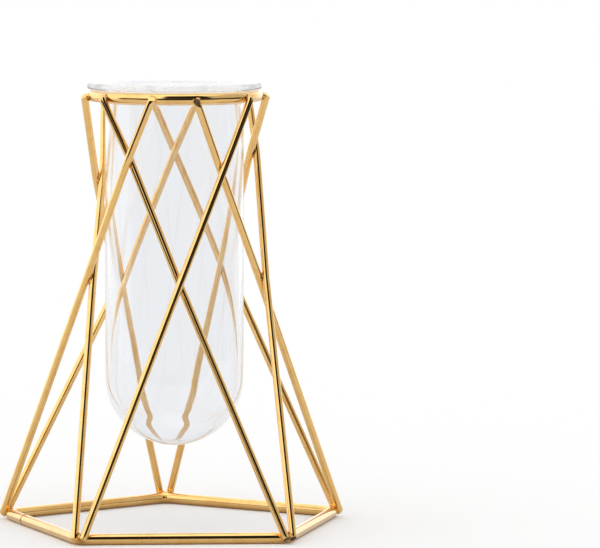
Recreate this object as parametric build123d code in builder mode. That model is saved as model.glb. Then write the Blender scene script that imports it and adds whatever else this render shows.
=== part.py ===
from build123d import *
from math import acos, asin, atan, cos, degrees, radians, sin, sqrt
import os

# Test tube vase: a glass tube hangs by its flared rim in a stand of welded, plated wire.
# Lengths are in millimetres and angles in degrees. The vase stands on the plane z = 0,
# its axis is the Z axis, and one corner of the base points back, towards +Y.

# Glass tube, round below and flared at its mouth
tube_outer_radius = 31.4
tube_wall = 2.2
tube_bottom_wall = 1.2  # at the tube's lowest point, where the glass is blown thinnest
tube_bottom = 37.0  # from the table up to the tube's lowest point
flare_radius = 6.5  # of the hollow curve under the flare
flare_turn = 90  # how far the wall turns outwards from upright
rim_thickness = 3.4
seat_gap = 0.15  # between the flare and the top ring

# Top ring, a hoop of round wire that the flare rests in
ring_wire = 5.0
ring_height = 196.0  # of the wire's middle
ring_bore_gap = 3.8  # between the tube's side and the ring
ring_joint_angle = 90

# Base ring, a pentagon of round wire with bent corners
side_count = 5
back_corner_angle = 90
base_wire = 5.0
base_corner_radius = 78.9  # from the axis to the point where two straight sides would meet
base_bend_radius = 6.0  # of the wire's centre line
base_joint_corner_count = 1  # corners from the back one to the side where the wire is closed
base_joint_share = 0.25  # of that side, from the corner to the closing weld

# Struts, two families of straight rods that wind round the vase opposite ways
strut_wire = 3.4
strut_tube_gap = 4.1  # from the tube's side to a strut that is evenly set and not bowed
strut_bend_radius = 100.0  # where a strut bows round the one that it crosses
strut_top_rise = 0.3  # from the top ring's middle up to the middle of the cut end
strut_foot_height = 2.4  # of the middle of the lower cut end
strut_top_bevel = 23  # how far the ends are ground off square, to face outwards
strut_foot_bevel = 20
strut_overrun = 6.0  # what the grinding takes off each end
foot_gap = 0.4  # between the two feet on one corner

# An outer strut crosses one inner strut near its top and another lower down.
# These count the corners from the outer strut's own on to the inner strut's.
upper_partner_count = 2
lower_partner_count = 1

# The rods are set by hand, so their ends sit a few degrees off the even spacing.
# Each row starts at the back corner and goes round anticlockwise, seen from above.
outer_top_slips = (11, 1, -2, -3, -4)
inner_top_slips = (-1, -3, -7, 0, -8)
corner_slips = (0, -10, 12, -4, 8)  # about the centre of the corner's bend

# Welds
weld_bite = 0.2  # how far two wires melt into each other where they touch
top_bead_share = 0.68  # beads' radii, of the strut's wire
corner_bead_share = 0.68
crossing_bead_share = 0.38
crossing_offset_share = 0.65  # from a crossing up or down to a bead, of the strut's wire
corner_height_share = 0.64  # of a corner's bead, of the base wire
closing_weld_length = 1.0  # along the wire
closing_weld_rise = 0.15  # above the base wire; the top ring's weld is ground flush

# Sizes that follow from these
ring_radius = tube_outer_radius + ring_bore_gap + ring_wire / 2
base_middle = base_wire / 2
corner_step = 360 / side_count
corner_angles = [back_corner_angle + corner_step * number for number in range(side_count)]


def polar(radius, angle, height):
    """A point at a radius, an angle and a height about the vase's axis."""
    return Vector(radius * cos(radians(angle)), radius * sin(radians(angle)), height)


def keep(part, name):
    """Name a finished piece and write it out."""
    part.label = name
    export_step(part, f"parts/{name}.step")
    return part


def round_wire(points, bend_radii, diameter):
    """A round wire along straight runs joined by tangent bends, its seam on the underside."""
    with BuildPart() as wire:
        with BuildLine() as route:
            FilletPolyline(*points, radius=bend_radii)
        with BuildSketch(Plane(origin=route.line @ 0, x_dir=(0, 0, -1), z_dir=route.line % 0)):
            Circle(diameter / 2)
        sweep()
    return wire.part


os.makedirs("parts", exist_ok=True)

# Base ring. The wire starts and ends at its closing weld.
base_corners = [polar(base_corner_radius, angle, base_middle) for angle in corner_angles]
joint_start = base_corners[base_joint_corner_count]
joint_side = base_corners[base_joint_corner_count + 1] - joint_start
joint_along = joint_side.normalized()
joint_middle = joint_start + joint_side * base_joint_share
half_closing_weld = joint_along * (closing_weld_length / 2)
base_route = [joint_middle + half_closing_weld]
for step in range(1, side_count + 1):
    base_route.append(base_corners[(base_joint_corner_count + step) % side_count])
base_route.append(joint_middle - half_closing_weld)
base_ring = keep(round_wire(base_route, base_bend_radius, base_wire), "base_ring")

# The base ring's closing weld stands a little proud of the wire and is ground flat below.
with BuildPart() as base_closing:
    with BuildSketch(Plane(origin=joint_middle - half_closing_weld, z_dir=joint_along)):
        Circle(base_middle + closing_weld_rise)
    extrude(amount=closing_weld_length)
    split(bisect_by=Plane.XY, keep=Keep.TOP)
keep(base_closing.part, "base_ring_closing_weld")

# Top ring, open by the length of its closing weld
closing_angle = degrees(closing_weld_length / ring_radius)
ring_start = ring_joint_angle + closing_angle / 2
ring_centre = Vector(0, 0, ring_height)
with BuildPart() as top_ring:
    with BuildLine(Plane.XY.offset(ring_height)) as hoop:
        CenterArc((0, 0), ring_radius, ring_start, 360 - closing_angle)
    with BuildSketch(Plane(origin=hoop.line @ 0, z_dir=hoop.line % 0)):
        Circle(ring_wire / 2)
    sweep()
keep(top_ring.part, "top_ring")

with BuildPart() as ring_closing:
    with BuildLine(Plane.XY.offset(ring_height)) as joint_arc:
        CenterArc((0, 0), ring_radius, ring_start - closing_angle, closing_angle)
    with BuildSketch(Plane(origin=joint_arc.line @ 0, z_dir=joint_arc.line % 0)):
        Circle(ring_wire / 2)
    sweep()
keep(ring_closing.part, "top_ring_closing_weld")

# Seen from either end of a strut, the other end lies about a quarter turn round the axis.
# So at each end the strut leans inwards by that end's own radius over the height.
top_lean = atan(ring_radius / ring_height)
foot_lean = atan(base_corner_radius / ring_height)
top_seat = ring_radius + ((ring_wire + strut_wire) / 2 - weld_bite) / cos(top_lean)
bend_centre_radius = base_corner_radius - base_bend_radius / cos(radians(corner_step / 2))
foot_seat = base_bend_radius + ((base_wire + strut_wire) / 2 - weld_bite) / cos(foot_lean)
foot_spread = degrees(asin((strut_wire + foot_gap) / 2 / foot_seat))

# From its foot to its top, a strut turns round the axis as far as the tube leaves room for.
passing_radius = tube_outer_radius + strut_tube_gap + strut_wire / 2
foot_radius = bend_centre_radius + foot_seat
strut_turn = degrees(acos(passing_radius / top_seat) + acos(passing_radius / foot_radius))


def strut_chord(corner, winding, top_slip):
    """Where a strut's axis passes the top ring and the base ring's corner."""
    corner_angle = corner_angles[corner]
    top = polar(top_seat, corner_angle + winding * strut_turn + top_slip, ring_height)
    bend_centre = polar(bend_centre_radius, corner_angle, base_middle)
    foot_angle = corner_angle + winding * foot_spread + corner_slips[corner]
    return top, bend_centre + polar(foot_seat, foot_angle, 0)


outer_chords = [strut_chord(n, 1, outer_top_slips[n]) for n in range(side_count)]
inner_chords = [strut_chord(n, -1, inner_top_slips[n]) for n in range(side_count)]


def bowed_crossing(outer_chord, inner_chord):
    """The points where two crossing struts' axes pass, bowed apart until their wires touch."""
    (outer_top, outer_foot), (inner_top, inner_foot) = outer_chord, inner_chord
    outer_along = (outer_top - outer_foot).normalized()
    inner_along = (inner_top - inner_foot).normalized()
    offset = outer_top - inner_top
    leaning = outer_along.dot(inner_along)
    outer_share = leaning * inner_along.dot(offset) - outer_along.dot(offset)
    inner_share = inner_along.dot(offset) - leaning * outer_along.dot(offset)
    on_outer = outer_top + outer_along * (outer_share / (1 - leaning**2))
    on_inner = inner_top + inner_along * (inner_share / (1 - leaning**2))
    outward = outer_along.cross(inner_along).normalized()
    if outward.dot(on_outer) < 0:
        outward = outward * -1
    push = (strut_wire - weld_bite - (on_outer - on_inner).dot(outward)) / 2
    return on_outer + outward * push, on_inner - outward * push


upper_crossings = []
lower_crossings = []
for number in range(side_count):
    upper_inner = inner_chords[(number + upper_partner_count) % side_count]
    lower_inner = inner_chords[(number + lower_partner_count) % side_count]
    upper_crossings.append(bowed_crossing(outer_chords[number], upper_inner))
    lower_crossings.append(bowed_crossing(outer_chords[number], lower_inner))


def end_cut(end, along, height, bevel):
    """The plane that grinds a strut's end off where its axis reaches a height."""
    on_axis = end + along * ((height - end.Z) / along.Z)
    outward = Vector(end.X, end.Y, 0)
    sideways = (outward - along * along.dot(outward)).normalized()
    normal = along * cos(radians(bevel)) + sideways * sin(radians(bevel))
    return Plane(origin=on_axis, z_dir=normal)


def ground_rod(chord, upper, lower):
    """A strut's rod through its two crossings, with its ends ground."""
    top, foot = chord
    up = (top - upper).normalized()
    down = (foot - lower).normalized()
    points = [top + up * strut_overrun, upper, lower, foot + down * strut_overrun]
    with BuildPart() as rod:
        add(round_wire(points, strut_bend_radius, strut_wire))
        top_height = ring_height + strut_top_rise
        split(bisect_by=end_cut(top, up, top_height, strut_top_bevel), keep=Keep.BOTTOM)
        foot_plane = end_cut(foot, down, strut_foot_height, strut_foot_bevel)
        split(bisect_by=foot_plane, keep=Keep.BOTTOM)
    return rod.part


def cut_back(part, neighbours):
    """A piece cut back to the surfaces of the wires that it's welded to."""
    with BuildPart() as piece:
        add(part)
        for neighbour in neighbours:
            add(neighbour, mode=Mode.SUBTRACT)
    return piece.part


outer_rods = []
inner_rods = []
for number in range(side_count):
    upper, lower = upper_crossings[number][0], lower_crossings[number][0]
    outer_rods.append(ground_rod(outer_chords[number], upper, lower))
    upper = upper_crossings[number - upper_partner_count][1]
    lower = lower_crossings[number - lower_partner_count][1]
    inner_rods.append(ground_rod(inner_chords[number], upper, lower))

# The outer rods stay whole at the crossings, and the inner ones are notched there.
rings = [top_ring.part, base_ring]
for number in range(side_count):
    crossed = [outer_rods[number - upper_partner_count], outer_rods[number - lower_partner_count]]
    keep(cut_back(outer_rods[number], rings), f"outer_strut_{number + 1}")
    keep(cut_back(inner_rods[number], rings + crossed), f"inner_strut_{number + 1}")


def weld_bead(centre, across, radius, joined):
    """A round weld bead, cut back to the wires that it joins, with its poles inside them."""
    with BuildPart(Plane(origin=centre, z_dir=across)) as ball:
        Sphere(radius)
    return cut_back(ball.part, joined)


def keep_beads(beads, name):
    """Write a row of separate weld beads out as one node."""
    with BuildPart() as row:
        for bead in beads:
            add(bead)
    keep(row.part, name)


# A bead sits where each strut's end meets the top ring, on the ring's outer side.
top_beads = []
for chord, rod in zip(outer_chords + inner_chords, outer_rods + inner_rods):
    outward = Vector(chord[0].X, chord[0].Y, 0).normalized()
    touch = ring_centre + outward * (ring_radius + ring_wire / 2)
    top_beads.append(weld_bead(touch, outward, strut_wire * top_bead_share, [top_ring.part, rod]))
keep_beads(top_beads, "top_ring_welds")

# One larger bead fills the hollow between the two feet on each corner of the base.
corner_beads = []
for number in range(side_count):
    axes_there = []
    for top, foot in (outer_chords[number], inner_chords[number]):
        rise_share = (base_wire * corner_height_share - foot.Z) / (top.Z - foot.Z)
        axes_there.append(foot + (top - foot) * rise_share)
    centre = (axes_there[0] + axes_there[1]) / 2
    across = axes_there[0] - axes_there[1]
    joined = [base_ring, outer_rods[number], inner_rods[number]]
    corner_beads.append(weld_bead(centre, across, strut_wire * corner_bead_share, joined))
keep_beads(corner_beads, "base_corner_welds")


def keep_crossing_beads(crossings, partner, name):
    """A bead just above and one just below each crossing, in the notch between the rods."""
    beads = []
    radius = strut_wire * crossing_bead_share
    for number, (on_outer, on_inner) in enumerate(crossings):
        centre = (on_outer + on_inner) / 2
        outward = (on_outer - on_inner).normalized()
        upward = (Vector(0, 0, 1) - outward * outward.Z).normalized()
        step = upward * (strut_wire * crossing_offset_share)
        joined = [outer_rods[number], inner_rods[(number + partner) % side_count]]
        beads.append(weld_bead(centre + step, outward, radius, joined))
        beads.append(weld_bead(centre - step, outward, radius, joined))
    keep_beads(beads, name)


keep_crossing_beads(upper_crossings, upper_partner_count, "upper_crossing_welds")
keep_crossing_beads(lower_crossings, lower_partner_count, "lower_crossing_welds")

# Glass tube. The curve under its flare rests on the top ring's wire.
bore_radius = tube_outer_radius - tube_wall
flare_centre_radius = tube_outer_radius + flare_radius
seat_distance = flare_radius - ring_wire / 2 - seat_gap
flare_start = ring_height - sqrt(seat_distance**2 - (flare_centre_radius - ring_radius) ** 2)
turn_cos = cos(radians(flare_turn))
turn_sin = sin(radians(flare_turn))
rim_radius = rim_thickness / 2
rim_centre_x = flare_centre_radius - (flare_radius + rim_radius) * turn_cos
rim_centre_z = flare_start + (flare_radius + rim_radius) * turn_sin
mouth_curve_end = flare_centre_radius - (flare_radius + rim_thickness) * turn_cos
mouth_curve_radius = (mouth_curve_end - bore_radius) / (1 - turn_cos)
mouth_curve_top = flare_start + (flare_radius + rim_thickness) * turn_sin
mouth_start = mouth_curve_top - mouth_curve_radius * turn_sin
bowl_height = tube_bottom + tube_outer_radius
inner_bowl_height = bowl_height - (tube_wall - tube_bottom_wall)
with BuildPart() as glass_tube:
    with BuildSketch(Plane.XZ):
        with BuildLine():
            bowl = CenterArc((0, bowl_height), tube_outer_radius, -90, 90)
            side = Line(bowl @ 1, (tube_outer_radius, flare_start))
            flare = CenterArc((flare_centre_radius, flare_start), flare_radius, 180, -flare_turn)
            rim = CenterArc((rim_centre_x, rim_centre_z), rim_radius, -flare_turn, 180)
            mouth_centre = (bore_radius + mouth_curve_radius, mouth_start)
            mouth = CenterArc(mouth_centre, mouth_curve_radius, 180 - flare_turn, flare_turn)
            bore = Line((bore_radius, mouth_start), (bore_radius, inner_bowl_height))
            floor = CenterArc((0, inner_bowl_height), bore_radius, 0, -90)
            Line(floor @ 1, bowl @ 0)
        make_face()
    revolve(axis=Axis.Z)
keep(glass_tube.part, "glass_tube")
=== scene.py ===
from collections import namedtuple
from math import acos, asin, atan, ceil, cos, pi, radians, sin, sqrt, tan

import bmesh
import bpy
import numpy as np
from bpy.props import FloatProperty, FloatVectorProperty, PointerProperty
from mathutils import Euler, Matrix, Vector, noise


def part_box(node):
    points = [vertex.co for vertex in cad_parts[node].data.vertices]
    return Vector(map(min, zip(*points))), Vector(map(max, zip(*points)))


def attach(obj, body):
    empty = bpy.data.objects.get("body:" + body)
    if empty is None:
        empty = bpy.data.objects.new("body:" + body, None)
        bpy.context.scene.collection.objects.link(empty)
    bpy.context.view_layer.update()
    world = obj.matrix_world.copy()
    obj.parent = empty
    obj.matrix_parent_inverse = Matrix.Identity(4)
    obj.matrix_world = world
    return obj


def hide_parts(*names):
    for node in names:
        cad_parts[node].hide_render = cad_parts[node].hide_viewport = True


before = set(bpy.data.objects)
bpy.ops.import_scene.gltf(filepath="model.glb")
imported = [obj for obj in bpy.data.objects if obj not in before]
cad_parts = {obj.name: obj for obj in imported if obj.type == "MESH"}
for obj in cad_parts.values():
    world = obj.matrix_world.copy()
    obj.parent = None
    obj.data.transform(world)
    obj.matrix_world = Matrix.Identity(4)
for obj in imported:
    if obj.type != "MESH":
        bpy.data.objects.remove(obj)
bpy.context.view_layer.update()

bl_info = {
    "name": "Test tube vase",
    "version": (1, 0, 0),
    "blender": (4, 5, 0),
    "location": "3D View > Sidebar > Vase",
    "description": "A glass tube that hangs by its flared rim in a welded gold wire stand",
    "category": "Add Mesh",
}

MM = 0.001


# Sizes, finishes and studio, as a user would change them

def length_size(name, description, millimetres):
    return FloatProperty(
        name=name, description=description, default=millimetres * MM, unit="LENGTH")


def angle_size(name, description, degrees):
    return FloatProperty(
        name=name, description=description, default=radians(degrees), unit="ROTATION")


def angle_row(name, description, degrees):
    return FloatVectorProperty(
        name=name, description=description, size=len(degrees),
        default=[radians(turn) for turn in degrees], unit="ROTATION")


def share_size(name, description, share):
    return FloatProperty(name=name, description=description, default=share, subtype="FACTOR")


def colour_choice(name, description, colour):
    return FloatVectorProperty(
        name=name, description=description, default=colour, subtype="COLOR", min=0, max=1)


def light_strength(name, description, strength):
    return FloatProperty(name=name, description=description, default=strength)


class GlassSizes(bpy.types.PropertyGroup):
    outer_radius: length_size("Outer radius", "Outside of the tube's straight wall", 31.4)
    wall: length_size("Wall", "Thickness of the tube's wall", 2.2)
    bottom_wall: length_size(
        "Bottom wall", "Thickness of the glass at the tube's lowest point", 1.2)
    bottom: FloatProperty(
        name="Bottom", description="From the table up to the tube's lowest point",
        default=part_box("glass_tube")[0].z, unit="LENGTH")
    flare_radius: length_size("Flare radius", "Hollow curve under the flared rim", 6.5)
    flare_turn: angle_size("Flare turn", "How far the wall turns outwards from upright", 90)
    rim_thickness: length_size("Rim thickness", "Thickness of the rim's melted edge", 3.4)
    seat_gap: length_size("Seat gap", "Between the flare and the top ring", 0.15)
    closing_height: length_size(
        "Closing mark", "Height of the drop left inside where the tube was closed", 0.7)
    closing_radius: length_size("Closing mark radius", "How wide that drop is", 2.6)
    bowl_ripple: length_size(
        "Bowl ripple", "Ripple left inside the bowl when the tube was closed", 0.34)
    bowl_ripple_height: length_size(
        "Bowl ripple height", "How far above the tube's lowest point it runs", 14.0)
    bowl_ripple_width: length_size("Bowl ripple width", "From its crest to where it fades", 3.4)
    waviness: length_size("Waviness", "How far the drawn wall strays from a true round", 0.05)


class StandSizes(bpy.types.PropertyGroup):
    ring_wire: length_size("Ring wire", "Wire of the top ring and the base ring", 5.0)
    ring_radius: length_size(
        "Top ring radius", "From the axis to the middle of the top ring's wire", 37.7)
    ring_height: length_size(
        "Top ring height", "From the table to the middle of the top ring's wire", 196.0)
    base_corner_radius: length_size(
        "Base corner radius", "From the axis to where two base sides would meet", 78.9)
    base_bend_radius: length_size(
        "Base bend radius", "Bend of the base wire's middle at a corner", 6.0)
    base_joint_share: share_size(
        "Base joint", "Where the base wire is closed, as a share of its side", 0.25)
    strut_wire: length_size("Strut wire", "Wire of the ten struts", 3.4)
    strut_turn: angle_size("Strut turn", "From a strut's foot to its top, round the axis", 90)
    strut_bend_radius: length_size(
        "Strut bow", "Bend of a strut round the one that it crosses", 100.0)
    top_rise: length_size(
        "Top rise", "From the top ring's middle up to the middle of a cut end", 0.3)
    foot_height: length_size(
        "Foot height", "Middle of a strut's lower cut end above the table", 2.4)
    top_bevel: angle_size("Top bevel", "How far the top ends are ground off square", 23)
    foot_bevel: angle_size("Foot bevel", "How far the feet are ground off square", 20)
    foot_gap: length_size("Foot gap", "Between the two feet on one corner", 0.4)
    weld_bite: length_size("Weld bite", "How far two touching wires melt into each other", 0.2)
    outer_top_slips: angle_row(
        "Outer top slips", "How far each outer strut's top is set off even spacing",
        (11, 1, -2, -3, -4))
    inner_top_slips: angle_row(
        "Inner top slips", "How far each inner strut's top is set off even spacing",
        (-1, -3, -7, 0, -8))
    corner_slips: angle_row(
        "Corner slips", "How far each pair of feet is set round its corner", (0, -10, 12, -4, 8))
    edge_break: length_size("Edge break", "Rounding left on the ground ends", 0.16)
    ripple: length_size("Ripple", "Unevenness of the drawn and plated wire", 0.012)


class WeldSizes(bpy.types.PropertyGroup):
    top_fillet: length_size(
        "Top ring fillet", "Reach of the weld metal between strut and top ring", 1.7)
    corner_fillet: length_size(
        "Corner fillet", "Reach of the weld metal between feet and base", 2.4)
    crossing_fillet: length_size(
        "Crossing fillet", "Reach of the weld metal between crossing struts", 1.1)
    top_reach: length_size("Top ring bead", "Radius of a bead on the top ring", 2.6)
    corner_reach: length_size("Corner bead", "Radius of a bead on a base corner", 3.4)
    crossing_reach: length_size("Crossing bead", "Radius of a bead on a crossing", 3.0)
    lumps: share_size("Lumps", "Unevenness of the weld metal, as a share of a bead", 0.05)
    closing_length: length_size("Closing weld", "Width of the welds that close the two rings", 2.2)
    closing_rise: length_size(
        "Closing weld rise", "How proud the base ring's closing weld stands", 0.14)


class Finishes(bpy.types.PropertyGroup):
    gold: colour_choice("Gold", "Colour of the gold plating", (0.95, 0.61, 0.22))
    deep_gold: colour_choice(
        "Deep gold", "Colour of the plating where it is thicker", (0.87, 0.49, 0.14))
    # Stain also gives the lighter mottle of the painted dark reflection on some ground ends; the
    # colour after it is that reflection's darkest.
    stain_and_dark_reflection: colour_choice("Stain and dark reflection", "Colour of heat stain round the welds", (0.20, 0.10, 0.03))
    painted_dark: colour_choice(
        "Painted dark end", "Darkest colour of the ends that the torch burnt", (0.035, 0.02, 0.01))
    glass: colour_choice("Glass", "Tint of the clear glass", (0.93, 0.94, 0.955))
    gold_roughness: share_size("Gold roughness", "Roughness of the polished plating", 0.07)
    floor: colour_choice("Floor", "Colour of the floor", (0.78, 0.78, 0.78))


class Studio(bpy.types.PropertyGroup):
    focal_length: FloatProperty(
        name="Focal length", description="Of the camera's lens, in millimetres",
        default=281.4)
    distance: length_size("Distance", "From the camera to the point that it looks at", 2131)
    turn: angle_size("Turn", "How far the camera stands round the vase", -3.18)
    pitch: angle_size("Pitch", "How far the camera looks down", 5)
    look_height: length_size("Look height", "Height of the point that the camera looks at", 100)
    shift: FloatVectorProperty(
        name="Shift", description="Shift of the lens across and up, in frame widths",
        size=2, default=(0.2092, 0.0545))
    flag_sides: angle_row(
        "Dark flag sides", "Left and right edge of the dark flag by the camera", (-19, 47))
    flag_ends: angle_row("Dark flag ends", "Lower and upper edge of the dark flag", (4, 61))
    gap_sides: angle_row(
        "Dark gap sides", "Left and right end of the dark gap past the table", (-80, 95))
    gap_top: angle_size("Dark gap top", "How far the dark gap rises above the table", 7)
    flag_edge: angle_size("Flag edge", "How soft the dark flag's edges are", 5)
    flag_light: light_strength("Flag light", "Light that the dark flag gives off", 0.012)
    left_light: light_strength("Left light", "Strength of the large light on the left", 1.3)
    top_light: light_strength("Top light", "Strength of the light overhead", 1.6)
    right_light: light_strength("Right light", "Strength of the wall on the right", 0.6)
    glass_haze: share_size("Glass haze", "How far the glass lightens the gold's dark streaks", 0.7)


# Wires: where they run

def polar(radius, angle, height):
    """A point at a radius, an angle and a height about the vase's axis."""
    return Vector((radius * cos(angle), radius * sin(angle), height))


# One strut: its node, the points that its middle runs through and its two ground ends
Rod = namedtuple("Rod", "node points top_cut foot_cut")


class StandPlan:
    """Where every wire of the stand runs, and where wires touch."""

    SIDES = 5
    BACK_CORNER = radians(90)
    JOINT_CORNER = 1
    UPPER_PARTNER = 2
    LOWER_PARTNER = 1
    # The front strut on the right is ground steeper and lower than the rest.
    EXTRA_BEVELS = {"inner_strut_5": radians(15)}
    DROPS = {"inner_strut_5": 1.6 * MM}
    # Ends coloured with a painted dark reflection: tops, then feet.
    PAINTED_DARK_ENDS = ({"inner_strut_5"}, {"outer_strut_4", "inner_strut_4"})

    def __init__(self, stand):
        self.stand = stand
        self.corner_step = 2 * pi / self.SIDES
        self.corners = [self.BACK_CORNER + self.corner_step * n for n in range(self.SIDES)]
        self.base_middle = stand.ring_wire / 2
        self.outer = [self.chord(n, 1, stand.outer_top_slips[n]) for n in range(self.SIDES)]
        self.inner = [self.chord(n, -1, stand.inner_top_slips[n]) for n in range(self.SIDES)]
        self.upper = self.crossings(self.UPPER_PARTNER)
        self.lower = self.crossings(self.LOWER_PARTNER)
        self.rods = {}
        for n in range(self.SIDES):
            self.add_rod(f"outer_strut_{n + 1}", self.outer[n], self.upper[n][0], self.lower[n][0])
            upper = self.upper[n - self.UPPER_PARTNER][1]
            lower = self.lower[n - self.LOWER_PARTNER][1]
            self.add_rod(f"inner_strut_{n + 1}", self.inner[n], upper, lower)

    def chord(self, corner, winding, top_slip):
        """Where a strut's middle passes the top ring and the base's corner."""
        stand = self.stand
        top_lean = atan(stand.ring_radius / stand.ring_height)
        foot_lean = atan(stand.base_corner_radius / stand.ring_height)
        touching = (stand.ring_wire + stand.strut_wire) / 2 - stand.weld_bite
        top_seat = stand.ring_radius + touching / cos(top_lean)
        foot_seat = stand.base_bend_radius + touching / cos(foot_lean)
        bend_centre = stand.base_corner_radius - stand.base_bend_radius / cos(self.corner_step / 2)
        spread = asin((stand.strut_wire + stand.foot_gap) / 2 / foot_seat)
        corner_angle = self.corners[corner]
        top_angle = corner_angle + winding * stand.strut_turn + top_slip
        foot_angle = corner_angle + winding * spread + stand.corner_slips[corner]
        foot = polar(bend_centre, corner_angle, self.base_middle) + polar(foot_seat, foot_angle, 0)
        return polar(top_seat, top_angle, stand.ring_height), foot

    def crossings(self, partner):
        """For each outer strut, the two points where it and an inner strut touch, bowed apart."""
        found = []
        for n in range(self.SIDES):
            (outer_top, outer_foot), (inner_top, inner_foot) = (
                self.outer[n], self.inner[(n + partner) % self.SIDES])
            outer_along = (outer_top - outer_foot).normalized()
            inner_along = (inner_top - inner_foot).normalized()
            offset = outer_top - inner_top
            leaning = outer_along.dot(inner_along)
            spare = 1 - leaning ** 2
            outer_share = (leaning * inner_along.dot(offset) - outer_along.dot(offset)) / spare
            inner_share = (inner_along.dot(offset) - leaning * outer_along.dot(offset)) / spare
            on_outer = outer_top + outer_along * outer_share
            on_inner = inner_top + inner_along * inner_share
            outward = outer_along.cross(inner_along).normalized()
            if outward.dot(on_outer) < 0:
                outward = -outward
            apart = self.stand.strut_wire - self.stand.weld_bite
            push = (apart - (on_outer - on_inner).dot(outward)) / 2
            found.append((on_outer + outward * push, on_inner - outward * push))
        return found

    def end_cut(self, end, along, height, bevel):
        """The middle and the normal of the plane that grinds a strut's end off."""
        middle = end + along * ((height - end.z) / along.z)
        outward = Vector((end.x, end.y, 0))
        sideways = (outward - along * along.dot(outward)).normalized()
        return middle, along * cos(bevel) + sideways * sin(bevel)

    def rod_path(self, rod, step):
        """Points along the middle of a strut, bowed where it passes another."""
        return bent_path(rod.points, self.stand.strut_bend_radius, step)

    def add_rod(self, node, chord, upper, lower):
        """Work out a strut's run and its ground ends."""
        top, foot = chord
        stand = self.stand
        up = (top - upper).normalized()
        down = (foot - lower).normalized()
        top_height = stand.ring_height + stand.top_rise - self.DROPS.get(node, 0)
        top_bevel = stand.top_bevel + self.EXTRA_BEVELS.get(node, 0)
        top_cut = self.end_cut(top, up, top_height, top_bevel)
        foot_cut = self.end_cut(foot, down, stand.foot_height, stand.foot_bevel)
        points = [top_cut[0], upper, lower, foot_cut[0]]
        self.rods[node] = Rod(node, points, top_cut, foot_cut)

    def base_route(self):
        """The base wire's runs, from its closing weld all the way round to it again."""
        stand = self.stand
        at_corner = [polar(stand.base_corner_radius, angle, self.base_middle)
                     for angle in self.corners]
        start, end = at_corner[self.JOINT_CORNER], at_corner[self.JOINT_CORNER + 1]
        joint = start + (end - start) * stand.base_joint_share
        route = [joint]
        for step in range(1, self.SIDES + 1):
            route.append(at_corner[(self.JOINT_CORNER + step) % self.SIDES])
        return route + [joint]


LEAST_BEND_PIECES = 4


def bent_path(points, bend_radius, step):
    """Points along straight runs joined by tangent bends, at most a step apart."""
    legs = [points[0]]
    for before, corner, after in zip(points, points[1:], points[2:]):
        arriving = (corner - before).normalized()
        leaving = (after - corner).normalized()
        turn = acos(max(-1, min(1, arriving.dot(leaving))))
        tangent = bend_radius * tan(turn / 2)
        centre = corner + (leaving - arriving).normalized() * (bend_radius / cos(turn / 2))
        first = corner - arriving * tangent - centre
        last = corner + leaving * tangent - centre
        pieces = max(LEAST_BEND_PIECES, ceil(bend_radius * turn / step))
        for number in range(pieces + 1):
            legs.append(centre + first.slerp(last, number / pieces).normalized() * bend_radius)
    legs.append(points[-1])
    path = [legs[0]]
    for start, end in zip(legs, legs[1:]):
        pieces = max(1, ceil((end - start).length / step))
        for number in range(1, pieces + 1):
            path.append(start.lerp(end, number / pieces))
    return path


# Meshes

def new_piece(name, vertices, faces, materials, face_materials=None, straight=None):
    """A smooth mesh object in the scene, with its place along the wire kept on its points."""
    mesh = bpy.data.meshes.new(name)
    mesh.from_pydata([tuple(v) for v in vertices], [], faces)
    mesh.update()
    for material in materials:
        mesh.materials.append(material)
    if face_materials is not None:
        mesh.polygons.foreach_set("material_index", face_materials)
    mesh.polygons.foreach_set("use_smooth", [True] * len(faces))
    if straight is not None:
        attribute = mesh.attributes.new("straight", "FLOAT_VECTOR", "POINT")
        attribute.data.foreach_set("vector", np.array(straight, np.float32).ravel())
    mesh.validate()
    piece = bpy.data.objects.new(name, mesh)
    bpy.context.scene.collection.objects.link(piece)
    return piece


def keep_piece(piece, body, node):
    """Let a piece ride on its body and stand for its node."""
    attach(piece, body)
    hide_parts(node)


def uneven(place):
    """A soft random number from 0 to 1, the same each time for the same place."""
    return 0.5 + 0.5 * noise.noise(place)


def ring_faces(rows, around, closed):
    """Four-sided faces between rows of points, each row a closed round."""
    faces = []
    for row in range(rows if closed else rows - 1):
        here, there = row * around, ((row + 1) % rows) * around
        for place in range(around):
            beside = (place + 1) % around
            faces.append((here + place, here + beside, there + beside, there + place))
    return faces


class WireSkin:
    """The surface of a round wire, made row by row along its middle."""

    RIPPLE_LENGTH = 2.6 * MM
    RIPPLE_SCALE = 1.1

    def __init__(self, radius, around, ripple, seed):
        self.radius = radius
        self.around = around
        self.ripple = ripple
        self.seed = seed
        self.vertices = []
        self.straight = []

    def add_row(self, centre, along, distance, radius, plane=None):
        """A round row of points, slid along the wire onto a plane if one is given."""
        side = along.cross(Vector((0, 0, 1))).normalized()
        up = side.cross(along)
        for number in range(self.around):
            angle = 2 * pi * number / self.around
            across = side * cos(angle) + up * sin(angle)
            place = Vector((cos(angle), sin(angle), distance / self.RIPPLE_LENGTH + self.seed))
            hollow = self.ripple * uneven(place * self.RIPPLE_SCALE)
            point = centre + across * (radius - hollow)
            if plane is not None:
                origin, normal = plane
                point = point + along * ((origin - point).dot(normal) / along.dot(normal))
            self.vertices.append(point)
            self.straight.append((radius * cos(angle), radius * sin(angle), distance))


def closed_wire(name, path, radius, around, ripple, materials, seed):
    """A ring of wire whose path ends where it starts."""
    loop = path[:-1]
    skin = WireSkin(radius, around, ripple, seed)
    distance = 0
    for number, centre in enumerate(loop):
        before, after = loop[number - 1], loop[(number + 1) % len(loop)]
        skin.add_row(centre, (after - before).normalized(), distance, radius)
        distance += (after - centre).length
    faces = ring_faces(len(loop), around, True)
    return new_piece(name, skin.vertices, faces, materials, None, skin.straight)


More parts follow.
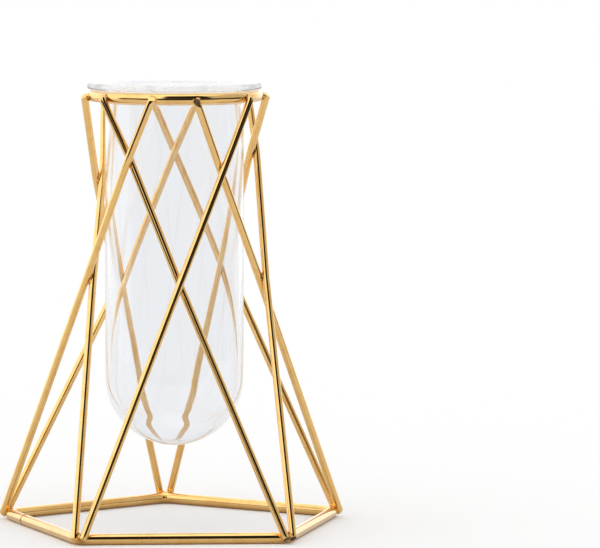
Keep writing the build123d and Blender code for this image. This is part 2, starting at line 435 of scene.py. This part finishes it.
# Rows over a ground end: how far in and how far down the broken edge, and shares of the flat.
EDGE_ROWS = ((0.0, 1.0), (0.3, 0.3), (1.0, 0.0))
FLAT_ROWS = (0.66, 0.33, 0.02)
CLEAR_OF_END = 1.1  # wire radii that a plain row keeps from a slanting end


def ground_wire(name, path, radius, around, ripple, edge_break, cuts, materials, kinds_at, seed):
    """A rod of wire, its ends ground on the planes given, each with its kind of surface."""
    skin = WireSkin(radius, around, ripple, seed)
    first_cut, last_cut = cuts
    lengths = [0]
    for start, end in zip(path, path[1:]):
        lengths.append(lengths[-1] + (end - start).length)

    def end_rows(cut, along, distance, inwards):
        """Add the rows over an end's broken edge and its flat, from the wire inwards or back."""
        middle, normal = cut
        rows = [(radius - edge_break * inset, depth) for inset, depth in EDGE_ROWS]
        rows += [((radius - edge_break) * share, 0.0) for share in FLAT_ROWS]
        for row_radius, depth in rows if inwards else reversed(rows):
            plane = (middle - normal * edge_break * depth, normal)
            skin.add_row(middle, along, distance, row_radius, plane)

    first_along = (path[1] - path[0]).normalized()
    last_along = (path[-1] - path[-2]).normalized()
    end_rows(first_cut, first_along, 0, False)
    clear = CLEAR_OF_END * radius
    for number in range(1, len(path) - 1):
        if clear <= lengths[number] and clear <= lengths[-1] - lengths[number]:
            along = (path[number + 1] - path[number - 1]).normalized()
            skin.add_row(path[number], along, lengths[number], radius)
    end_rows(last_cut, last_along, lengths[-1], True)
    rows = len(skin.vertices) // around
    faces = ring_faces(rows, around, False)
    faces.append(tuple(range(around - 1, -1, -1)))
    faces.append(tuple(range((rows - 1) * around, rows * around)))
    flat = len(FLAT_ROWS)
    by_row = [kinds_at[0]] * flat + [0] * (rows - 1 - 2 * flat) + [kinds_at[1]] * flat
    kinds = [kind for kind in by_row for _ in range(around)] + kinds_at
    return new_piece(name, skin.vertices, faces, materials, kinds, skin.straight)


# Weld metal, grown from the distances to the wires that it joins

def distance_to_wire(points, path, radius):
    """How far points lie outside a round wire."""
    start, run = path[:-1], path[1:] - path[:-1]
    offset = points[:, None, :] - start[None]
    share = np.clip((offset * run).sum(-1) / (run * run).sum(-1), 0, 1)
    return np.linalg.norm(offset - share[..., None] * run, axis=-1).min(-1) - radius


def smooth_least(first, second, reach):
    """The lesser of two distances, rounded off over a reach."""
    near = np.maximum(reach - np.abs(first - second), 0) / reach
    return np.minimum(first, second) - near * near * reach / 4


def smooth_most(first, second, reach):
    """The greater of two distances, rounded off over a reach."""
    return -smooth_least(-first, -second, reach)


class WeldMetal:
    """Beads of weld metal on touching wires, gathered into one mesh."""

    SUNK = 0.03 * MM
    FINENESS = 5
    SEARCH = 1.5  # bead radii that the surface is looked for within
    STEPS = 16
    HALVINGS = 10
    CUT_FILLET = 0.3  # shares of the bead's fillet, at a ground end and at the bead's rim
    RIM_FILLET = 0.5
    LUMP_SCALE = 2.2
    LUMP_SPREAD = 5 * MM

    def __init__(self, lumps):
        ball = bmesh.new()
        bmesh.ops.create_icosphere(ball, subdivisions=self.FINENESS, radius=1)
        self.directions = np.array([v.co for v in ball.verts])
        self.ball_faces = [tuple(v.index for v in face.verts) for face in ball.faces]
        ball.free()
        self.lumps = lumps
        self.vertices = []
        self.faces = []
        self.straight = []

    def add_bead(self, centre, wires, cuts, reach, fillet, lowest=None):
        """Metal that fills the notch between wires, as far as a reach from their contact."""
        middle = np.array(centre)
        paths = [(np.array([tuple(p) for p in path]), radius) for path, radius in wires]

        def outside(points):
            field = None
            for path, radius in paths:
                apart = distance_to_wire(points, path, radius)
                field = apart if field is None else smooth_least(field, apart, fillet)
            field = field + self.SUNK
            for origin, normal in cuts:
                beyond = (points - np.array(origin)) @ np.array(normal) + self.SUNK
                field = smooth_most(field, beyond, self.CUT_FILLET * fillet)
            from_middle = np.linalg.norm(points - middle, axis=-1) - reach
            return smooth_most(field, from_middle, self.RIM_FILLET * fillet)

        furthest = self.SEARCH * reach
        low = np.zeros(len(self.directions))
        high = np.full(len(self.directions), furthest)
        found = np.zeros(len(self.directions), bool)
        for step in range(1, self.STEPS + 1):
            trial = np.full(len(self.directions), furthest * step / self.STEPS)
            out = outside(middle + self.directions * trial[:, None]) > 0
            newly = out & ~found
            high[newly] = trial[newly]
            low[~found & ~out] = trial[~found & ~out]
            found |= out
        for _ in range(self.HALVINGS):
            trial = (low + high) / 2
            out = outside(middle + self.directions * trial[:, None]) > 0
            high = np.where(out, trial, high)
            low = np.where(out, low, trial)
        base = len(self.vertices)
        for direction, length in zip(self.directions, low):
            place = Vector(direction) * self.LUMP_SCALE + Vector(middle) / self.LUMP_SPREAD
            length *= 1 - self.lumps * uneven(place)
            point = middle + direction * length
            if lowest is not None:
                point[2] = max(point[2], lowest)
            self.vertices.append(tuple(point))
            self.straight.append(tuple(direction * length))
        self.faces += [tuple(base + index for index in face) for face in self.ball_faces]

    def finish(self, name, node):
        """Make the beads one piece, which stands for its node."""
        materials = [finish_named("weld_gold")]
        piece = new_piece(name, self.vertices, self.faces, materials, None, self.straight)
        keep_piece(piece, "stand", node)


# Shader maths

class Value:
    """A node's output, so that sums on it add Math nodes."""

    def __init__(self, sheet, output):
        self.sheet = sheet
        self.output = output

    def maths(self, operation, *values):
        return self.sheet.add("ShaderNodeMath", {"operation": operation}, dict(enumerate(values)))

    def __add__(self, other):
        return self.maths("ADD", self, other)

    def __radd__(self, other):
        return self.maths("ADD", other, self)

    def __sub__(self, other):
        return self.maths("SUBTRACT", self, other)

    def __rsub__(self, other):
        return self.maths("SUBTRACT", other, self)

    def __mul__(self, other):
        return self.maths("MULTIPLY", self, other)

    def __rmul__(self, other):
        return self.maths("MULTIPLY", other, self)


class Sheet:
    """A node tree that nodes are added to."""

    def __init__(self, tree):
        self.tree = tree
        tree.nodes.clear()

    def add(self, kind, settings=None, sockets=None, output=0):
        """A node with its settings, and values or links on its sockets."""
        node = self.tree.nodes.new(kind)
        for name, setting in (settings or {}).items():
            setattr(node, name, setting)
        for name, value in (sockets or {}).items():
            socket = node.inputs[name]
            if isinstance(value, Value):
                self.tree.links.new(value.output, socket)
            elif socket.type == "RGBA" and len(value) == 3:
                socket.default_value = (*value, 1)
            else:
                socket.default_value = value
        return Value(self, node.outputs[output]) if node.outputs else None

    def noise(self, place, scale, detail=2.0, roughness=0.5):
        """Soft random tone, from 0 to 1."""
        return self.add(
            "ShaderNodeTexNoise", None,
            {"Vector": place, "Scale": scale, "Detail": detail, "Roughness": roughness})

    def own_place(self):
        """The place of a point on the piece itself."""
        return self.add("ShaderNodeTexCoord", None, None, output=3)

    def stretched(self, place, stretch):
        """A place with its three directions scaled."""
        return self.add("ShaderNodeVectorMath", {"operation": "MULTIPLY"}, {0: place, 1: stretch})

    def ease(self, value, low, high):
        """A soft step from 0 at one value to 1 at another."""
        return self.add(
            "ShaderNodeMapRange", {"interpolation_type": "SMOOTHSTEP"},
            {"Value": value, "From Min": low, "From Max": high})

    def band(self, value, low, high, soft):
        """1 between two values and 0 beyond them, with soft edges."""
        return self.ease(value, low - soft, low + soft) * (
            1 - self.ease(value, high - soft, high + soft))

    def bump(self, height, strength, depth):
        """A normal tilted by a height."""
        return self.add(
            "ShaderNodeBump", None, {"Strength": strength, "Distance": depth, "Height": height})

    def colour_mix(self, share, first, second):
        """A colour between two others."""
        return self.add(
            "ShaderNodeMix", {"data_type": "RGBA"},
            {0: share, 6: tuple(first), 7: tuple(second)}, output=2)


def new_material(name):
    material = bpy.data.materials.new(name)
    material.use_nodes = True
    return material, Sheet(material.node_tree)


def close_material(sheet, sockets):
    """Add the surface shader and the output."""
    surface = sheet.add("ShaderNodeBsdfPrincipled", None, sockets)
    sheet.add("ShaderNodeOutputMaterial", None, {"Surface": surface})


def polished_gold(finishes):
    """Polished gold plating on drawn wire, with faint draw lines and uneven plating."""
    material, sheet = new_material("polished_gold")
    deepest, line_roughness, thick_roughness, line_share = 0.55, 0.12, 0.03, 0.6
    place = sheet.add("ShaderNodeAttribute", {"attribute_name": "straight"}, output=1)
    along_wire = sheet.stretched(place, (2600, 2600, 24))
    lines = sheet.noise(along_wire, scale=1.0, detail=3.0, roughness=0.6)
    cloud = sheet.noise(place, scale=210, detail=3.0, roughness=0.55)
    peel = sheet.noise(place, scale=1300)
    thick = sheet.ease(cloud, low=0.42, high=0.68)
    colour = sheet.colour_mix(thick * deepest, finishes.gold, finishes.deep_gold)
    drawn = sheet.ease(lines, low=0.5, high=0.85)
    roughness = finishes.gold_roughness + drawn * line_roughness + thick * thick_roughness
    height = lines * line_share + peel * (1 - line_share)
    normal = sheet.bump(height, strength=0.25, depth=0.02 * MM)
    close_material(sheet, {
        "Base Color": colour, "Metallic": 1.0, "Roughness": roughness, "Normal": normal,
        "Coat Weight": 0.6, "Coat Roughness": 0.05})
    return material


def ground_gold(finishes):
    """The ground end of a strut: plated over grinding marks, and duller than the wire."""
    material, sheet = new_material("ground_gold")
    place = sheet.own_place()
    least_rough, added_rough = 0.1, 0.2
    ground = sheet.stretched(place, (900, 3800, 3800))
    marks = sheet.noise(ground, scale=1.0, detail=3.0, roughness=0.6)
    deep = sheet.ease(marks, low=0.35, high=0.75)
    colour = sheet.colour_mix(deep, finishes.gold, finishes.deep_gold)
    close_material(sheet, {
        "Base Color": colour, "Metallic": 1.0, "Roughness": marks * added_rough + least_rough,
        "Normal": sheet.bump(marks, strength=0.5, depth=0.03 * MM)})
    return material


def painted_dark_end(finishes):
    """A ground end coloured with a painted dark reflection, mottled dark brown and dull."""
    material, sheet = new_material("painted_dark_end")
    place = sheet.own_place()
    least_rough, added_rough = 0.2, 0.3
    mottle = sheet.noise(place, scale=1100, detail=3.0, roughness=0.6)
    lighter = sheet.ease(mottle, low=0.42, high=0.68)
    # Painted dark reflection: near black to dark brown by the mottle.
    colour = sheet.colour_mix(lighter, finishes.painted_dark, finishes.stain_and_dark_reflection)
    close_material(sheet, {
        "Base Color": colour, "Metallic": 0.7, "Roughness": mottle * added_rough + least_rough,
        "Normal": sheet.bump(mottle, strength=0.6, depth=0.06 * MM)})
    return material


def weld_gold(finishes):
    """Plated weld metal, grainy and stained in blotches by the heat."""
    material, sheet = new_material("weld_gold")
    place = sheet.own_place()
    most_stained, blotch_share, least_rough, added_rough = 0.9, 0.6, 0.08, 0.25
    blotch = sheet.noise(place, scale=420, detail=3.0, roughness=0.6)
    grain = sheet.noise(place, scale=1900, detail=3.0, roughness=0.6)
    stained = sheet.ease(blotch, low=0.44, high=0.6)
    colour = sheet.colour_mix(stained * most_stained, finishes.deep_gold, finishes.stain_and_dark_reflection)
    height = blotch * blotch_share + grain * (1 - blotch_share)
    close_material(sheet, {
        "Base Color": colour, "Metallic": 1.0, "Roughness": grain * added_rough + least_rough,
        "Normal": sheet.bump(height, strength=0.6, depth=0.06 * MM)})
    return material


def blown_glass(finishes):
    """Clear drawn glass with faint vertical streaks."""
    material, sheet = new_material("blown_glass")
    place = sheet.own_place()
    most_rough = 0.012
    streaks = sheet.noise(sheet.stretched(place, (90, 90, 14)), scale=1.0)
    smear = sheet.noise(place, scale=60, detail=3.0)
    roughness = sheet.ease(smear, low=0.45, high=0.8) * most_rough
    close_material(sheet, {
        "Base Color": tuple(finishes.glass), "Metallic": 0.0, "IOR": 1.5,
        "Transmission Weight": 1.0, "Roughness": roughness,
        "Normal": sheet.bump(streaks, strength=0.12, depth=0.2 * MM)})
    return material


MAKERS = {
    "polished_gold": polished_gold, "ground_gold": ground_gold,
    "painted_dark_end": painted_dark_end, "weld_gold": weld_gold, "blown_glass": blown_glass,
}


def finish_named(name):
    """The material of that name, made on its first use."""
    found = bpy.data.materials.get(name)
    return found or MAKERS[name](bpy.context.scene.vase_finishes)


# Pieces

def arc(centre, radius, start, turn, pieces):
    """Points of an arc in the profile's plane, across and up."""
    return [(centre[0] + radius * cos(start + turn * n / pieces),
             centre[1] + radius * sin(start + turn * n / pieces)) for n in range(pieces + 1)]


def straight_run(start, end, pieces):
    """Points between two others, without the first."""
    return [(start[0] + (end[0] - start[0]) * n / pieces,
             start[1] + (end[1] - start[1]) * n / pieces) for n in range(1, pieces + 1)]


BOWL_PIECES = 40
WALL_PIECES = 60
FLARE_PIECES = 24
RIM_PIECES = 20


def glass_profile(glass, stand):
    """The outside from the bottom up over the rim, and the inside down again to the floor."""
    outer = glass.outer_radius
    bore = outer - glass.wall
    bowl_height = glass.bottom + outer
    inner_bowl_height = bowl_height - (glass.wall - glass.bottom_wall)
    flare_middle = outer + glass.flare_radius
    seat = glass.flare_radius - stand.ring_wire / 2 - glass.seat_gap
    flare_start = stand.ring_height - sqrt(seat ** 2 - (flare_middle - stand.ring_radius) ** 2)
    turn = glass.flare_turn
    rim_radius = glass.rim_thickness / 2
    rim_reach = glass.flare_radius + rim_radius
    rim_middle = (flare_middle - rim_reach * cos(turn), flare_start + rim_reach * sin(turn))
    mouth_end = flare_middle - (rim_reach + rim_radius) * cos(turn)
    mouth_radius = (mouth_end - bore) / (1 - cos(turn))
    mouth_top = flare_start + (rim_reach + rim_radius) * sin(turn)
    mouth_start = mouth_top - mouth_radius * sin(turn)
    outside = arc((0, bowl_height), outer, -pi / 2, pi / 2, BOWL_PIECES)
    outside += straight_run((outer, bowl_height), (outer, flare_start), WALL_PIECES)
    flare_centre = (flare_middle, flare_start)
    outside += arc(flare_centre, glass.flare_radius, pi, -turn, FLARE_PIECES)[1:]
    outside += arc(rim_middle, rim_radius, -turn, pi, RIM_PIECES)[1:]
    mouth_middle = (bore + mouth_radius, mouth_start)
    inside = arc(mouth_middle, mouth_radius, pi - turn, turn, FLARE_PIECES)[1:]
    inside += straight_run((bore, mouth_start), (bore, inner_bowl_height), WALL_PIECES)
    inside += arc((0, inner_bowl_height), bore, 0, -pi / 2, BOWL_PIECES)[1:]
    return outside, inside


class VASE_OT_glass_tube(bpy.types.Operator):
    """Blow the glass tube, round below and flared at its mouth"""
    bl_idname = "vase.glass_tube"
    bl_label = "Glass tube"

    AROUND = 168
    WAVE = 21 * MM
    WAVE_STRETCH = 0.6
    INSIDE_SEED = 40

    def execute(self, context):
        scene = context.scene
        glass = scene.vase_glass
        outside, inside = glass_profile(glass, scene.vase_stand)
        turning_back = len(outside)
        profile = (outside + inside)[1:-1]
        floor = glass.bottom + glass.bottom_wall + glass.closing_height
        ripple_at = glass.bottom + glass.bowl_ripple_height
        vertices = [(0, 0, glass.bottom)]
        for row, (across, height) in enumerate(profile):
            outer_face = row + 1 < turning_back
            if not outer_face and height < glass.bottom + glass.outer_radius:
                height += glass.closing_height * np.exp(-(across / glass.closing_radius) ** 2)
            for number in range(self.AROUND):
                angle = 2 * pi * number / self.AROUND
                place = polar(across, angle, height) / self.WAVE
                place.z = place.z * self.WAVE_STRETCH + (0 if outer_face else self.INSIDE_SEED)
                stray = glass.waviness * uneven(place) * min(1, across / glass.closing_radius)
                if not outer_face:
                    off_crest = (height - ripple_at) / glass.bowl_ripple_width
                    stray -= glass.bowl_ripple * np.exp(-off_crest ** 2)
                radius = across - stray if outer_face else across + stray
                vertices.append(tuple(polar(radius, angle, height)))
        vertices.append((0, 0, floor))
        faces = [(0, 1 + (n + 1) % self.AROUND, 1 + n) for n in range(self.AROUND)]
        for face in ring_faces(len(profile), self.AROUND, False):
            faces.append(tuple(index + 1 for index in face))
        last = len(vertices) - 1
        start = last - self.AROUND
        faces += [(start + n, start + (n + 1) % self.AROUND, last) for n in range(self.AROUND)]
        piece = new_piece("glass_tube_blown", vertices, faces, [finish_named("blown_glass")])
        keep_piece(piece, "glass", "glass_tube")
        return {"FINISHED"}


class VASE_OT_rings(bpy.types.Operator):
    """Bend the top ring and the base ring from round wire"""
    bl_idname = "vase.rings"
    bl_label = "Top and base rings"

    AROUND = 48
    STEP = 1.3 * MM
    HOOP_PIECES = 220
    BASE_SEED = 3.0
    TOP_SEED = 11.0

    def execute(self, context):
        stand = context.scene.vase_stand
        base = bent_path(StandPlan(stand).base_route(), stand.base_bend_radius, self.STEP)
        turns = [pi / 2 + 2 * pi * n / self.HOOP_PIECES for n in range(self.HOOP_PIECES + 1)]
        hoop = [polar(stand.ring_radius, turn, stand.ring_height) for turn in turns]
        rings = (("base_ring", base, self.BASE_SEED), ("top_ring", hoop, self.TOP_SEED))
        for node, path, seed in rings:
            ring = closed_wire(
                f"{node}_bent", path, stand.ring_wire / 2, self.AROUND, stand.ripple,
                [finish_named("polished_gold")], seed)
            keep_piece(ring, "stand", node)
        return {"FINISHED"}


class VASE_OT_struts(bpy.types.Operator):
    """Set the ten struts, with their ends ground at a slant"""
    bl_idname = "vase.struts"
    bl_label = "Struts"

    AROUND = 36
    STEP = 1.3 * MM
    # The third finish holds the painted dark reflection for some ends.
    FINISHES = ("polished_gold", "ground_gold", "painted_dark_end")
    GROUND, PAINTED_DARK_ENDS = 1, 2
    SEED_STEP = 19.0

    def execute(self, context):
        stand = context.scene.vase_stand
        plan = StandPlan(stand)
        materials = [finish_named(name) for name in self.FINISHES]
        for number, rod in enumerate(plan.rods.values()):
            # Ends in those sets get the painted dark reflection, the rest ground gold.
            kinds = [self.PAINTED_DARK_ENDS if rod.node in painted_dark else self.GROUND for painted_dark in plan.PAINTED_DARK_ENDS]
            piece = ground_wire(
                rod.node.replace("_strut_", "_rod_"), plan.rod_path(rod, self.STEP),
                stand.strut_wire / 2, self.AROUND, stand.ripple, stand.edge_break,
                (rod.top_cut, rod.foot_cut), materials, kinds, self.SEED_STEP * number)
            keep_piece(piece, "stand", rod.node)
        return {"FINISHED"}


def near_part(path, centre, reach):
    """The points of a path that lie near a centre, with one more at each end."""
    close = [n for n, point in enumerate(path) if (point - centre).length < reach]
    return path[max(0, close[0] - 1):close[-1] + 2]


class VASE_OT_ring_welds(bpy.types.Operator):
    """Weld the struts' tops to the top ring and their feet to the base's corners"""
    bl_idname = "vase.ring_welds"
    bl_label = "Welds on the rings"

    STEP = 2 * MM
    HOOP_STEP = 3  # degrees
    NEAR = 9 * MM
    FOOT_RISE = 1 * MM
    FOOT_INSET = 1 * MM
    ABOVE_TABLE = 0.4 * MM

    def execute(self, context):
        stand, welds = context.scene.vase_stand, context.scene.vase_welds
        plan = StandPlan(stand)
        ring_radius, rod_radius = stand.ring_wire / 2, stand.strut_wire / 2
        turns = range(-self.HOOP_STEP, 360 + 2 * self.HOOP_STEP + 1, self.HOOP_STEP)
        hoop = [polar(stand.ring_radius, radians(turn), stand.ring_height) for turn in turns]
        base = bent_path(plan.base_route(), stand.base_bend_radius, self.STEP)

        tops = WeldMetal(welds.lumps)
        for rod in plan.rods.values():
            path = plan.rod_path(rod, self.STEP)
            path.insert(0, path[0] + (path[0] - path[1]).normalized() * self.NEAR)
            middle = rod.top_cut[0]
            on_hoop = Vector((middle.x, middle.y, 0)).normalized()
            centre = (on_hoop * (stand.ring_radius + ring_radius)
                      + Vector((0, 0, stand.ring_height)))
            wires = [(near_part(hoop, centre, self.NEAR), ring_radius),
                     (near_part(path, centre, self.NEAR), rod_radius)]
            tops.add_bead(centre, wires, [rod.top_cut], welds.top_reach, welds.top_fillet)
        tops.finish("top_ring_weld_metal", "top_ring_welds")

        feet = WeldMetal(welds.lumps)
        for number in range(plan.SIDES):
            pair = [plan.rods[f"{family}_strut_{number + 1}"] for family in ("outer", "inner")]
            cuts = [rod.foot_cut for rod in pair]
            centre = (cuts[0][0] + cuts[1][0]) / 2 + Vector((0, 0, self.FOOT_RISE))
            centre -= Vector((centre.x, centre.y, 0)).normalized() * self.FOOT_INSET
            wires = [(near_part(base, centre, self.NEAR), ring_radius)]
            for rod in pair:
                path = plan.rod_path(rod, self.STEP)
                path.append(path[-1] + (path[-1] - path[-2]).normalized() * self.NEAR)
                wires.append((near_part(path, centre, self.NEAR), rod_radius))
            feet.add_bead(
                centre, wires, cuts, welds.corner_reach, welds.corner_fillet, self.ABOVE_TABLE)
        feet.finish("base_corner_weld_metal", "base_corner_welds")
        return {"FINISHED"}


class VASE_OT_crossing_welds(bpy.types.Operator):
    """Weld the struts together where they cross"""
    bl_idname = "vase.crossing_welds"
    bl_label = "Welds on the crossings"

    STEP = 2 * MM
    NEAR = 8 * MM

    def execute(self, context):
        stand, welds = context.scene.vase_stand, context.scene.vase_welds
        plan = StandPlan(stand)
        rows = (("upper", plan.upper, plan.UPPER_PARTNER),
                ("lower", plan.lower, plan.LOWER_PARTNER))
        for row, crossings, partner in rows:
            metal = WeldMetal(welds.lumps)
            for number, (on_outer, on_inner) in enumerate(crossings):
                centre = (on_outer + on_inner) / 2
                other = (number + partner) % plan.SIDES
                wires = []
                for node in (f"outer_strut_{number + 1}", f"inner_strut_{other + 1}"):
                    path = plan.rod_path(plan.rods[node], self.STEP)
                    wires.append((near_part(path, centre, self.NEAR), stand.strut_wire / 2))
                metal.add_bead(centre, wires, [], welds.crossing_reach, welds.crossing_fillet)
            metal.finish(f"{row}_crossing_weld_metal", f"{row}_crossing_welds")
        return {"FINISHED"}


class VASE_OT_closing_welds(bpy.types.Operator):
    """Close the wires of the two rings with a weld each"""
    bl_idname = "vase.closing_welds"
    bl_label = "Closing welds of the rings"

    AROUND = 48
    ROWS = 15
    UNEVEN = 0.05 * MM
    SEED = 5.0
    SUNK = 0.06 * MM
    SWELL_POWER = 0.6
    HIDDEN_SHARE = 0.7
    TOP_RISE = 0.04 * MM

    def band(self, name, middle_at, radius, rise, length, node):
        """A short swelling round a wire, sunk into it at both edges and never below the table."""
        skin = WireSkin(radius, self.AROUND, self.UNEVEN, self.SEED)
        for row in range(self.ROWS):
            share = row / (self.ROWS - 1)
            centre, along = middle_at((share - 0.5) * length)
            swell = sin(pi * share) ** self.SWELL_POWER * (rise + 2 * self.SUNK) - self.SUNK
            skin.add_row(centre, along, share * length, radius + swell)
        points = [Vector((p.x, p.y, max(p.z, 0))) for p in skin.vertices]
        inner_radius = radius * self.HIDDEN_SHARE
        hidden = WireSkin(inner_radius, self.AROUND, 0, self.SEED)
        for share in (1.0, 0.0):
            centre, along = middle_at((share - 0.5) * length)
            hidden.add_row(centre, along, share * length, inner_radius)
        rows = self.ROWS + 2
        faces = ring_faces(rows, self.AROUND, True)
        piece = new_piece(
            name, points + hidden.vertices, faces, [finish_named("weld_gold")], None,
            skin.straight + hidden.straight)
        keep_piece(piece, "stand", node)

    def execute(self, context):
        stand, welds = context.scene.vase_stand, context.scene.vase_welds
        plan = StandPlan(stand)
        route = plan.base_route()
        side_along = (route[1] - route[0]).normalized()

        def on_side(distance):
            return route[0] + side_along * distance, side_along

        def on_hoop(distance):
            angle = pi / 2 + distance / stand.ring_radius
            ahead = Vector((-sin(angle), cos(angle), 0))
            return polar(stand.ring_radius, angle, stand.ring_height), ahead

        radius = stand.ring_wire / 2
        self.band("base_ring_weld_band", on_side, radius, welds.closing_rise,
                  welds.closing_length, "base_ring_closing_weld")
        self.band("top_ring_weld_band", on_hoop, radius, self.TOP_RISE,
                  welds.closing_length, "top_ring_closing_weld")
        return {"FINISHED"}


# Stage

def ray_share(sheet, *outputs):
    """A Light Path node's outputs: what kind of ray sees this."""
    path = sheet.add("ShaderNodeLightPath").output.node
    return [Value(sheet, path.outputs[output]) for output in outputs]


def white_floor(finishes):
    """A plain pale floor: white to the eye and through glass, a little darker in the gold."""
    material, sheet = new_material("pale_floor")
    camera, through = ray_share(sheet, "Is Camera Ray", "Is Transmission Ray")
    seen = camera.maths("MAXIMUM", camera, through)
    colour = sheet.colour_mix(seen, finishes.floor, (1.0, 1.0, 1.0))
    surface = sheet.add("ShaderNodeBsdfDiffuse", None, {"Color": colour})
    sheet.add("ShaderNodeOutputMaterial", None, {"Surface": surface})
    return material


# Where the studio's walls fade: to the right, away from the camera, and up
RIGHT_FADE = (-0.3, 0.5)
AWAY_FADE = (0.2, 0.9)
WALL_TOP_FADE = (radians(45), radians(65))
OVERHEAD_FADE = (radians(62), radians(74))
BELOW_ALL = radians(-100)
SEEN_FLAG = 0.35  # how much of the dark flag shows through the glass


def studio_world(studio):
    """White to the eye. The gold mirrors lit walls, a dark flag and a dark gap past the table."""
    world = bpy.data.worlds.new("studio")
    world.use_nodes = True
    sheet = Sheet(world.node_tree)
    direction = sheet.add("ShaderNodeTexCoord")
    parts = sheet.add("ShaderNodeSeparateXYZ", None, {"Vector": direction}).output.node
    right, away, up = (Value(sheet, output) for output in parts.outputs)
    turn = right.maths("ARCTAN2", right, away * -1)
    rise = up.maths("ARCSINE", up)
    soft = studio.flag_edge
    flag = (sheet.band(turn, *studio.flag_sides, soft)
            * sheet.band(rise, *studio.flag_ends, soft))
    gap = (sheet.band(turn, *studio.gap_sides, soft)
           * sheet.band(rise, BELOW_ALL, studio.gap_top, soft))
    to_right = sheet.ease(right, *RIGHT_FADE) * (1 - sheet.ease(away, *AWAY_FADE))
    low_down = 1 - sheet.ease(rise, *WALL_TOP_FADE)
    walls = studio.left_light - to_right * low_down * (studio.left_light - studio.right_light)
    overhead = sheet.ease(rise, *OVERHEAD_FADE)
    walls = walls + overhead * (studio.top_light - studio.left_light)

    through, shiny, crossings = ray_share(
        sheet, "Is Transmission Ray", "Is Glossy Ray", "Transmission Depth")
    in_glass = crossings.maths("GREATER_THAN", crossings, 0)
    dark = flag.maths("MAXIMUM", flag, gap) * (1 - in_glass * studio.glass_haze)
    room = walls * (1 - dark) + dark * studio.flag_light
    # A ray bent through the glass counts as shiny too, so it's taken out of the mirrored ones.
    mirrored = shiny * (1 - through)
    strength = 1 - mirrored + mirrored * room - through * flag * SEEN_FLAG
    background = sheet.add(
        "ShaderNodeBackground", None, {"Color": (1.0, 1.0, 1.0), "Strength": strength})
    sheet.add("ShaderNodeOutputWorld", None, {"Surface": background})
    return world


class VASE_OT_stage(bpy.types.Operator):
    """Set up the floor, the studio's light and the camera"""
    bl_idname = "vase.stage"
    bl_label = "Floor, light and camera"

    # The table ends near the vase, so the gold mirrors the dark room past its edge.
    FLOOR_HALF = 0.8
    FLOOR_FRONT = -0.43
    FLOOR_BACK = 60.0
    NEAREST = 0.05
    FURTHEST = 500.0
    BOUNCES = 256

    def execute(self, context):
        scene = context.scene
        studio = scene.vase_studio
        half = self.FLOOR_HALF
        front, back = self.FLOOR_FRONT, self.FLOOR_BACK
        corners = [(-half, front, 0), (half, front, 0), (half, back, 0), (-half, back, 0)]
        floor = new_piece(
            "floor", corners, [(0, 1, 2, 3)], [white_floor(scene.vase_finishes)])
        scene.world = studio_world(studio)
        scene.view_settings.view_transform = "Standard"
        # Light that bounces along inside the rim needs many turns to come out again.
        cycles = scene.cycles
        cycles.max_bounces = cycles.glossy_bounces = cycles.transmission_bounces = self.BOUNCES

        lens = bpy.data.cameras.new("camera")
        lens.lens = studio.focal_length
        lens.shift_x, lens.shift_y = studio.shift
        lens.clip_start, lens.clip_end = self.NEAREST, self.FURTHEST
        camera = bpy.data.objects.new("camera", lens)
        scene.collection.objects.link(camera)
        away = Vector((sin(studio.turn) * cos(studio.pitch),
                       -cos(studio.turn) * cos(studio.pitch), sin(studio.pitch)))
        camera.location = Vector((0, 0, studio.look_height)) + away * studio.distance
        camera.rotation_euler = Euler((pi / 2 - studio.pitch, 0, studio.turn))
        scene.camera = camera
        return {"FINISHED"}


class VASE_PT_panel(bpy.types.Panel):
    """Sizes, finishes and steps of the vase"""
    bl_idname = "VASE_PT_panel"
    bl_label = "Test tube vase"
    bl_space_type = "VIEW_3D"
    bl_region_type = "UI"
    bl_category = "Vase"

    def draw(self, context):
        scene = context.scene
        for operator in OPERATORS:
            self.layout.operator(operator.bl_idname)
        for name in GROUPS:
            group = getattr(scene, name)
            box = self.layout.box()
            for size in group.bl_rna.properties:
                if size.identifier not in ("name", "rna_type"):
                    box.prop(group, size.identifier)


OPERATORS = (
    VASE_OT_glass_tube, VASE_OT_rings, VASE_OT_struts, VASE_OT_ring_welds,
    VASE_OT_crossing_welds, VASE_OT_closing_welds, VASE_OT_stage,
)
GROUPS = {
    "vase_glass": GlassSizes, "vase_stand": StandSizes, "vase_welds": WeldSizes,
    "vase_finishes": Finishes, "vase_studio": Studio,
}


def register():
    for group in GROUPS.values():
        bpy.utils.register_class(group)
    for name, group in GROUPS.items():
        setattr(bpy.types.Scene, name, PointerProperty(type=group))
    for operator in OPERATORS:
        bpy.utils.register_class(operator)
    bpy.utils.register_class(VASE_PT_panel)


def unregister():
    bpy.utils.unregister_class(VASE_PT_panel)
    for operator in reversed(OPERATORS):
        bpy.utils.unregister_class(operator)
    for name, group in GROUPS.items():
        delattr(bpy.types.Scene, name)
        bpy.utils.unregister_class(group)


def main():
    register()
    bpy.ops.vase.glass_tube()
    bpy.ops.vase.rings()
    bpy.ops.vase.struts()
    bpy.ops.vase.ring_welds()
    bpy.ops.vase.crossing_welds()
    bpy.ops.vase.closing_welds()
    bpy.ops.vase.stage()


if __name__ == "__main__":
    main()
